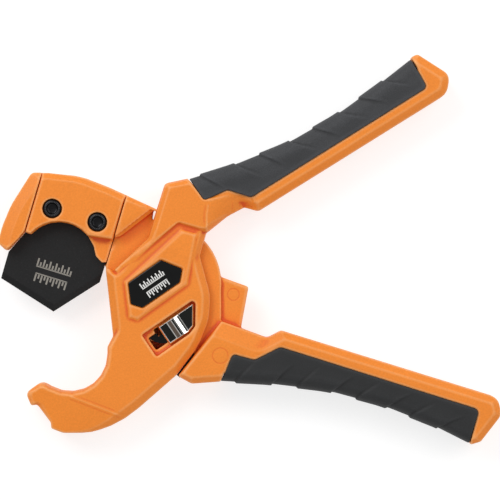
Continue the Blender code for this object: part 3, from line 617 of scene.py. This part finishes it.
def gripCover(name, grip, material, body, node):
    # a hollow cover round the handle's core
    piece = loft(name, widened(grip["corners"], cover["widenMm"]),
                 roundOver(cover["half"], cover["drop"], cover["inset"]))
    half, grow = cover["coreHalf"], -cover["coreGrowMm"]
    core = loft("core", [(x, y, 0.0, 1.0) for x, y in grip["core"]],
                [(midPlane - half, grow), (midPlane + half, grow)])
    combine(piece, [core], "DIFFERENCE")
    soften(piece, cover["voxelMm"], cover["relaxRounds"])
    raiseBands(piece, grip)
    markEdges(piece, cover["edgeGain"])
    return finish(piece, material, body, node)


gripCover("upperGripCover", upperGrip, upperRubber, "frame", "upper_grip")
gripCover("lowerGripCover", lowerGrip, lowerRubber, "lever", "lower_grip")
gapShadePad = {"half": 3.5, "corners": [  # a dark pad filling the open gap between the cheek and the lever's shoulder: painted shade where the floor would show through
    (10.1, -41.1, 0.0, 1.0), (20.1, -27.9, 0.0, 1.0), (18.62, -26.79, 0.1, 1.0), (8.67, -39.89, 0.1, 1.0)]}
pad = loft("gapShadePad", gapShadePad["corners"], [(midPlane - gapShadePad["half"], 0.0), (midPlane + gapShadePad["half"], 0.0)])
finish(pad, lowerRubber, "lever", None)
print("grips ready")


def runTree(piece, tree, values):
    # puts the tree on the piece with its inputs set by identifier, then keeps the result as a mesh
    step = piece.modifiers.new("detail", "NODES")
    step.node_group = tree
    for item in tree.interface.items_tree:
        if item.item_type == "SOCKET" and item.in_out == "INPUT" and item.name in values:
            step[item.identifier] = values[item.name]
    return baked(piece)


def newTree(name, inputs):
    # an empty tree with a material and other named inputs, returned with its two end nodes
    tree = bpy.data.node_groups.new(name, "GeometryNodeTree")
    tree.interface.new_socket("Geometry", in_out="OUTPUT", socket_type="NodeSocketGeometry")
    tree.interface.new_socket("Geometry", in_out="INPUT", socket_type="NodeSocketGeometry")
    for label, kind in inputs:
        tree.interface.new_socket(label, in_out="INPUT", socket_type="NodeSocket" + kind)
    return tree, addNode(tree, "NodeGroupInput"), addNode(tree, "NodeGroupOutput")


def endTree(tree, given, out, source):
    # what every tree ends in: its copies made real, then given their material
    solid = addNode(tree, "GeometryNodeRealizeInstances", links={"Geometry": source})
    painted = addNode(tree, "GeometryNodeSetMaterial",
                      links={"Geometry": (solid, 0), "Material": (given, "Material")})
    tree.links.new(painted.outputs["Geometry"], out.inputs["Geometry"])
    return tree


def knurlTree():
    # a ring of small raised teeth round a screw's socket
    tree, given, out = newTree("screwKnurl", [
        ("Centre", "Vector"), ("Ring Radius", "Float"), ("Teeth", "Int"), ("Tooth Size", "Vector"),
        ("Material", "Material")])
    circle = addNode(tree, "GeometryNodeMeshCircle",
                     links={"Vertices": (given, "Teeth"), "Radius": (given, "Ring Radius")})
    place = addNode(tree, "GeometryNodeInputPosition")
    facing = addNode(tree, "FunctionNodeAlignRotationToVector", {"axis": "X", "pivot_axis": "Z"},
                     links={"Vector": (place, "Position")})
    tooth = addNode(tree, "GeometryNodeMeshCube", links={"Size": (given, "Tooth Size")})
    teeth = addNode(tree, "GeometryNodeInstanceOnPoints", links={
        "Points": (circle, "Mesh"), "Instance": (tooth, "Mesh"), "Rotation": (facing, "Rotation")})
    moved = addNode(tree, "GeometryNodeTransform",
                    links={"Geometry": (teeth, "Instances"), "Translation": (given, "Centre")})
    return endTree(tree, given, out, (moved, "Geometry"))


def tickTree():
    # a row of short bars at an even pitch
    tree, given, out = newTree("tickRow", [
        ("Start", "Vector"), ("Pitch", "Vector"), ("Ticks", "Int"), ("Tick Size", "Vector"), ("Turn", "Float"),
        ("Material", "Material")])
    row = addNode(tree, "GeometryNodeMeshLine", {"mode": "OFFSET"},
                  links={"Count": (given, "Ticks"), "Start Location": (given, "Start"),
                         "Offset": (given, "Pitch")})
    bar = addNode(tree, "GeometryNodeMeshCube", links={"Size": (given, "Tick Size")})
    turn = addNode(tree, "ShaderNodeCombineXYZ", links={"Z": (given, "Turn")})
    bars = addNode(tree, "GeometryNodeInstanceOnPoints",
                   links={"Points": (row, "Mesh"), "Instance": (bar, "Mesh"), "Rotation": (turn, "Vector")})
    return endTree(tree, given, out, (bars, "Instances"))


def tickRow(name, tree, start, pitch, ticks, size, degrees, material, body):
    # one printed row as its own thin piece
    piece = asObject(name, bmesh.new())
    turn = math.radians(degrees)
    step = Vector((math.cos(turn), math.sin(turn), 0)) * pitch * mm
    runTree(piece, tree, {"Start": [c * mm for c in start], "Pitch": list(step), "Ticks": ticks,
                          "Tick Size": [c * mm for c in size], "Turn": turn, "Material": material})
    return finish(piece, material, body, None)


clampScrew = {"headMm": 4.2, "top": midPlane + 9.6, "keyMm": 1.55, "teeth": 26, "toothMm": (0.5, 0.24, 0.26)}
shellScrew = {"headMm": 2.7, "face": 2.3, "keyMm": 1.1, "teeth": 20, "toothMm": (0.4, 0.18, 0.2)}


def centreOf(node):
    low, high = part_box(node)
    return ((low[0] + high[0]) / 2 / mm, (low[1] + high[1]) / 2 / mm)


def screwPiece(name, node, body, profile, teethAt, teethRadius, screw):
    # a button head with a hexagon socket, and its rolled lock marks as a ring of teeth
    place = centreOf(node)
    piece = turned(name, profile, place)
    piece.data.shade_smooth()
    piece.data.set_sharp_from_angle(angle=math.radians(32))
    finish(piece, blackOxide, body, node)
    marks = asObject(name + "Knurl", bmesh.new())
    runTree(marks, knurl, {
        "Centre": (place[0] * mm, place[1] * mm, teethAt * mm), "Ring Radius": teethRadius * mm,
        "Teeth": screw["teeth"], "Tooth Size": [c * mm for c in screw["toothMm"]], "Material": rubbedSteel})
    finish(marks, rubbedSteel, body, None)


def clampScrewPiece(name, node, keyTurn):
    r, top, key = clampScrew["headMm"], clampScrew["top"], clampScrew["keyMm"]
    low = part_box(node)[0][2] / mm
    profile = [
        (0.0, top - 2.5), (key, top - 2.3, keyTurn), (key, top - 1.05, keyTurn),
        (key + 0.12, top - 0.95, keyTurn),
        (2.1, top - 0.85), (2.5, top - 0.06), (2.62, top), (r - 1.0, top - 0.02), (r - 0.65, top - 0.16),
        (r - 0.3, top - 0.5), (r - 0.08, top - 0.95), (r, top - 1.5), (r, midPlane + 7.7), (2.4, midPlane + 7.7),
        (2.4, low), (0.0, low)]
    screwPiece(name, node, "lever", profile, top - 0.1, r - 1.2, clampScrew)


def shellScrewPiece(name, node):
    # faces the rear, at the bottom of its counterbore
    r, face, key = shellScrew["headMm"], shellScrew["face"], shellScrew["keyMm"]
    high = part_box(node)[1][2] / mm
    profile = [
        (0.0, high), (1.5, high), (1.5, 4.7), (r, 4.7), (r, face + 0.7), (r - 0.2, face + 0.3),
        (r - 0.5, face + 0.08), (r - 0.9, face), (key + 0.3, face), (key + 0.1, face + 0.1, 0.0),
        (key, face + 0.2, 0.0), (key, face + 1.3, 0.0), (0.0, face + 1.4)]
    screwPiece(name, node, "frame", profile, face + 0.12, r - 0.45, shellScrew)


knurl = knurlTree()
clampScrewPiece("clampScrewLeft", "clamp_screw_1", 0.0)
clampScrewPiece("clampScrewRight", "clamp_screw_2", 20.0)
for number in range(1, 6):
    shellScrewPiece(f"shellScrew{number}", f"body_screw_{number}")
print("screws ready")


badge = {"corners": [(-12.3, 0.6, 0.8, 1.0), (-11.2, -8.6, 0.8, 1.0), (-6.1, -10.2, 0.8, 1.0),
                     (10.1, 0.9, 0.8, 1.0), (11.2, 6.8, 0.8, 1.0), (1.9, 10.6, 0.8, 1.0)],
         "tilt": 34.5}


def badgePlate(name, node, low, high, up):
    # a glossy plate with its edge rounded on the side that shows
    levels = [(low, 0.0), (high - 0.35, 0.0), (high - 0.12, 0.1), (high, 0.35)]
    if not up:
        levels = [(2 * midPlane - z, i) for z, i in reversed(levels)]
    piece = loft(name, badge["corners"], levels)
    piece.data.shade_smooth()
    piece.data.set_sharp_from_angle(angle=math.radians(25))
    return finish(piece, badgeBlack, "frame", node)


badgePlate("frontBadgePlate", "front_badge", midPlane + 10.9, midPlane + 11.9, True)
badgePlate("rearBadgePlate", "rear_badge", midPlane + 10.9, midPlane + 12.0, False)
scale = {"pitchMm": 1.02, "rows": ((2.5, 12, 1), (-2.5, 11, -1)), "barMm": (0.55, 2.6), "shortMm": 1.5,
         "lineMm": 0.4, "inkMm": 0.04}  # a row is its offset, its tick count and the way its ticks point
ticks = tickTree()


def printedScale(name, centre, degrees, height, material, body, size=1.0):
    # two facing rules of long and short ticks, each on its own base line
    turn = math.radians(degrees)
    along = Vector((math.cos(turn), math.sin(turn)))
    across = Vector((-math.sin(turn), math.cos(turn)))
    pitch, short, ink = scale["pitchMm"] * size, scale["shortMm"] * size, scale["inkMm"]
    wide, tall = [v * size for v in scale["barMm"]]
    for number, (offset, count, side) in enumerate(scale["rows"]):
        for part, (reach, every, first) in enumerate(((tall, 2, 0), (short, 2, 1))):
            bars = (count - first + 1) // every
            spot = Vector(centre) + across * (size * offset + side * (reach - tall) / 2) + along * pitch * (
                first - (count - 1) / 2)
            tickRow(f"{name}{number}{'AB'[part]}", ticks, (*spot, height), pitch * every, bars,
                    (wide, reach, ink), degrees, material, body)
        spot = Vector(centre) + across * (size * offset - side * (tall / 2 + 0.1))
        tickRow(f"{name}Line{number}", ticks, (*spot, height), 1.0, 1,
                (pitch * (count - 1) + wide, scale["lineMm"] * size, ink), degrees, material, body)


printedScale("badgeScale", (-0.6, 0.2), badge["tilt"], midPlane + 11.91, badgeWhite, "frame")
print("badges ready")


# a chrome wedge with flats and a thumb rib, in the slot's own axes; its flats and strips carry painted shade and
# dark reflection in darker chrome
lock = {"tilt": 34.2, "base": midPlane + 8.2, "top": midPlane + 10.5,
        "body": [(-10.0, -15.66, 0.4, 1.0), (-10.0, -25.15, 0.4, 1.0), (0.1, -25.1, 0.6, 1.0),
                 (3.1, -24.2, 0.8, 1.0), (8.5, -16.4, 0.6, 1.0), (8.3, -15.66, 0.5, 1.0)],
        "leftFlat": [(-9.25, -16.4), (-9.25, -24.4), (-6.0, -24.4), (-6.0, -16.4)],
        "rightFlat": [(0.35, -16.4), (0.35, -24.35), (2.8, -23.6), (7.5, -16.75), (7.3, -16.4)],
        "ribFrom": -16.3, "ribTo": -24.8,
        "rib": [(-5.7, 0.0), (-3.75, 0.85), (-3.5, 0.85), (-3.3, 0.05), (-2.6, 0.05), (-2.3, 0.9), (-2.1, 0.95),
                (0.1, 0.0)],
        # the strips are thin sheets of painted shade: browner chrome on the rib's shaded face, dark chrome in
        # its groove and at its foot
        "strips": [("ribShadedFace", (-5.55, 0.04), (-3.9, 0.78), paintedWarmChrome),
                   ("ribGroove", (-3.3, 0.06), (-2.7, 0.06), paintedDarkChrome),
                   ("ribFoot", (-0.7, 0.36), (0.1, 0.02), paintedDarkChrome)]}
# a thin black plate under the window, with the pin's path left free
windowBlackPlate = {"low": midPlane + 4.95, "high": midPlane + 5.5, "outline": [
    (-16.2, -17.75), (-14.8, -20.6), (-12.7, -22.8), (-11.2, -23.6), (-0.6, -23.6), (0.4, -19.45),
    (-12.3, -19.45), (-12.3, -17.75)]}


def lockPieces():
    # the wedge with its rib joined on, then the thin strips and flats that lie on it
    section = lock["rib"]
    plate = loft("lockButton", tilted(lock["body"], lock["tilt"]), [
        (lock["base"], 0.0), (lock["top"] - 0.75, 0.0), (lock["top"] - 0.1, 0.5), (lock["top"], 0.66)])
    work = bmesh.new()
    sides = []
    for across in (lock["ribTo"], lock["ribFrom"]):
        spots = tilted([(u, across) for u, _ in section] + [(section[-1][0], across), (section[0][0], across)],
                       lock["tilt"])
        heights = [lock["top"] + z for _, z in section] + [lock["top"] - 0.6] * 2
        sides.append([work.verts.new((x * mm, y * mm, z * mm)) for (x, y), z in zip(spots, heights)])
    count = len(sides[0])
    work.faces.new(sides[0])
    work.faces.new(list(reversed(sides[1])))
    for i in range(count):
        j = (i + 1) % count
        work.faces.new((sides[0][j], sides[0][i], sides[1][i], sides[1][j]))
    bmesh.ops.recalc_face_normals(work, faces=work.faces)
    combine(plate, [asObject("rib", work)], "UNION")
    chamfer = plate.modifiers.new("edge", "BEVEL")
    chamfer.width, chamfer.segments, chamfer.angle_limit = 0.07 * mm, 2, math.radians(20)
    baked(plate)
    finish(plate, chromePlate, "lock", "lock_slide")
    # thin sheets of darker chrome: painted shade on the rib
    for name, (u0, z0), (u1, z1), material in lock["strips"]:
        work = bmesh.new()
        corners = []
        for across in (lock["ribTo"] + 0.2, lock["ribFrom"] - 0.2):
            for u, z in ((u0, z0), (u1, z1), (u1, z1 + 0.05), (u0, z0 + 0.05)):
                x, y = tilted([(u, across)], lock["tilt"])[0]
                corners.append(work.verts.new((x * mm, y * mm, (lock["top"] + z) * mm)))
        for side in ((0, 1, 2, 3), (7, 6, 5, 4), (0, 4, 5, 1), (1, 5, 6, 2), (2, 6, 7, 3), (3, 7, 4, 0)):
            work.faces.new([corners[n] for n in side])
        bmesh.ops.recalc_face_normals(work, faces=work.faces)
        finish(asObject(name, work), material, "lock", None)
    # the flats in dark chrome: painted dark reflection
    for name in ("leftFlat", "rightFlat"):
        corners = [(x, y, 0.15, 1.0) for x, y in tilted(lock[name], lock["tilt"])]
        finish(loft("lock" + name.capitalize(), corners, [(lock["top"] - 0.3, 0.0), (lock["top"] + 0.02, 0.0)]),
               paintedDarkChrome, "lock", None)


lockPieces()
windowBlackCorners = [(x, y, 0.2, 1.0) for x, y in tilted(windowBlackPlate["outline"], lock["tilt"])]
finish(loft("windowBlackPlate", windowBlackCorners, [(windowBlackPlate["low"], 0.0), (windowBlackPlate["high"], 0.0)]),
       badgeBlack, "frame", None)
print("lock ready")


def springTree():
    # round wire swept along a helix about the hub's axis
    tree, given, out = newTree("springCoil", [
        ("Coil Radius", "Float"), ("Wire Radius", "Float"), ("Turns", "Float"), ("Rise", "Float"),
        ("Base", "Vector"), ("Material", "Material")])
    path = addNode(tree, "GeometryNodeCurveSpiral", values={"Resolution": 40}, links={
        "Rotations": (given, "Turns"), "Height": (given, "Rise"),
        "Start Radius": (given, "Coil Radius"), "End Radius": (given, "Coil Radius")})
    placed = addNode(tree, "GeometryNodeTransform",
                     links={"Geometry": (path, "Curve"), "Translation": (given, "Base")})
    wire = addNode(tree, "GeometryNodeCurvePrimitiveCircle", values={"Resolution": 12},
                   links={"Radius": (given, "Wire Radius")})
    coil = addNode(tree, "GeometryNodeCurveToMesh", values={"Fill Caps": True},
                   links={"Curve": (placed, "Geometry"), "Profile Curve": (wire, "Curve")})
    return endTree(tree, given, out, (coil, "Mesh"))


spring = {"coilMm": 10.7, "wireMm": 0.8, "turns": 3.0, "riseMm": 5.85,
          "startMm": midPlane - 4.5 + 1.5 + 0.8}  # the hub's half height, its groove's floor and the wire
coil = asObject("returnSpringCoil", bmesh.new())
runTree(coil, springTree(), {
    "Coil Radius": spring["coilMm"] * mm, "Wire Radius": spring["wireMm"] * mm, "Turns": spring["turns"],
    "Rise": spring["riseMm"] * mm, "Base": (0.0, 0.0, spring["startMm"] * mm), "Material": zincSteel})
finish(coil, zincSteel, "frame", "return_spring")
print("spring ready")


# the levels give both grinds and a worn line along them
blade = {"tilt": -16.6,
         "corners": [(-61.9, 27.0, 1.0, 0.0), (-61.9, 5.3, 0.5, 0.0), (-66.6, -4.9, 0.6, 0.0),
                     (-66.5, -17.1, 0.0, 1.0), (-40.2, -24.6, 0.0, 1.0), (-24.4, -6.4, 0.0, 0.0),
                     (-24.1, 27.0, 1.0, 0.0)],
         "levels": [(0.9, 2.75), (0.86, 2.6), (0.83, 2.45), (0.12, 0.12), (0.05, 0.0)]}


def bladePiece():
    # the two screws pass through it
    levels = [(midPlane + h, i) for h, i in blade["levels"]]
    piece = loft("bladePlate", tilted(blade["corners"], blade["tilt"]),
                 [(2 * midPlane - z, i) for z, i in levels] + list(reversed(levels)))
    holes = [turned("hole", [(0.0, midPlane + 2), (2.7, midPlane + 2), (2.7, midPlane - 2), (0.0, midPlane - 2)],
                    centreOf(node), 32) for node in ("clamp_screw_1", "clamp_screw_2")]
    combine(piece, holes, "DIFFERENCE")
    return finish(piece, bladeCoat, "lever", "blade")


bladePiece()
printedScale("bladeScale", (-46.0, 4.3), -17.0, midPlane + 0.92, etchedGrey, "lever", 1.35)
print("blade ready")


for node in ("pivot_pin", "hub_bushing", "lock_pin"):  # these keep their CAD shape
    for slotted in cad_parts[node].material_slots:
        slotted.material = zincSteel


studio = {"floorMm": -0.3, "floor": "A8A8A8", "floorGlow": 0.7, "cameraMm": 1800.0, "acrossMm": 220.0,
          "world": 0.5, "centre": (0.04, 0.015, 0.012), "lamps": (  # name, watts, size and place in metres
              ("keyTopLeft", 11.5, 0.9, (-0.7, 0.8, 1.15)), ("fillRight", 7.0, 1.0, (1.04, 0.7, 1.2)),
              ("fillLow", 2.0, 1.2, (0.7, -0.9, 1.1)))}


def buildFloor():
    work = bmesh.new()
    bmesh.ops.create_grid(work, x_segments=1, y_segments=1, size=3.0)
    bmesh.ops.translate(work, verts=work.verts, vec=(0, 0, studio["floorMm"] * mm))
    floor = asObject("floor", work)
    material, _, shader = newMaterial("palePaper", studio["floor"], 0.9)
    shader.inputs["Emission Color"].default_value = (1, 1, 1, 1)
    shader.inputs["Emission Strength"].default_value = studio["floorGlow"]
    floor.data.materials.append(material)


def areaLight(name, power, size, place, target):
    light = bpy.data.lights.new(name, "AREA")
    light.energy = power
    light.size = size
    lamp = bpy.data.objects.new(name, light)
    lamp.location = place
    lamp.rotation_euler = (Vector(target) - Vector(place)).to_track_quat("-Z", "Y").to_euler()
    bpy.context.scene.collection.objects.link(lamp)


def buildCamera():
    camera = bpy.data.cameras.new("camera")
    camera.sensor_width = 36.0
    camera.lens = 36.0 * studio["cameraMm"] / studio["acrossMm"]
    camera.clip_end = 10.0
    holder = bpy.data.objects.new("camera", camera)
    holder.location = (0.0409, 0.0150, studio["cameraMm"] * mm + 0.012)
    bpy.context.scene.collection.objects.link(holder)
    bpy.context.scene.camera = holder


buildFloor()
for lamp in studio["lamps"]:
    areaLight(*lamp, studio["centre"])
world = bpy.data.worlds.new("studio")
bpy.context.scene.world = world
world.use_nodes = True
background = world.node_tree.nodes["Background"]
background.inputs["Color"].default_value = (1, 1, 1, 1)
background.inputs["Strength"].default_value = studio["world"]
bpy.context.scene.view_settings.view_transform = "Standard"
buildCamera()
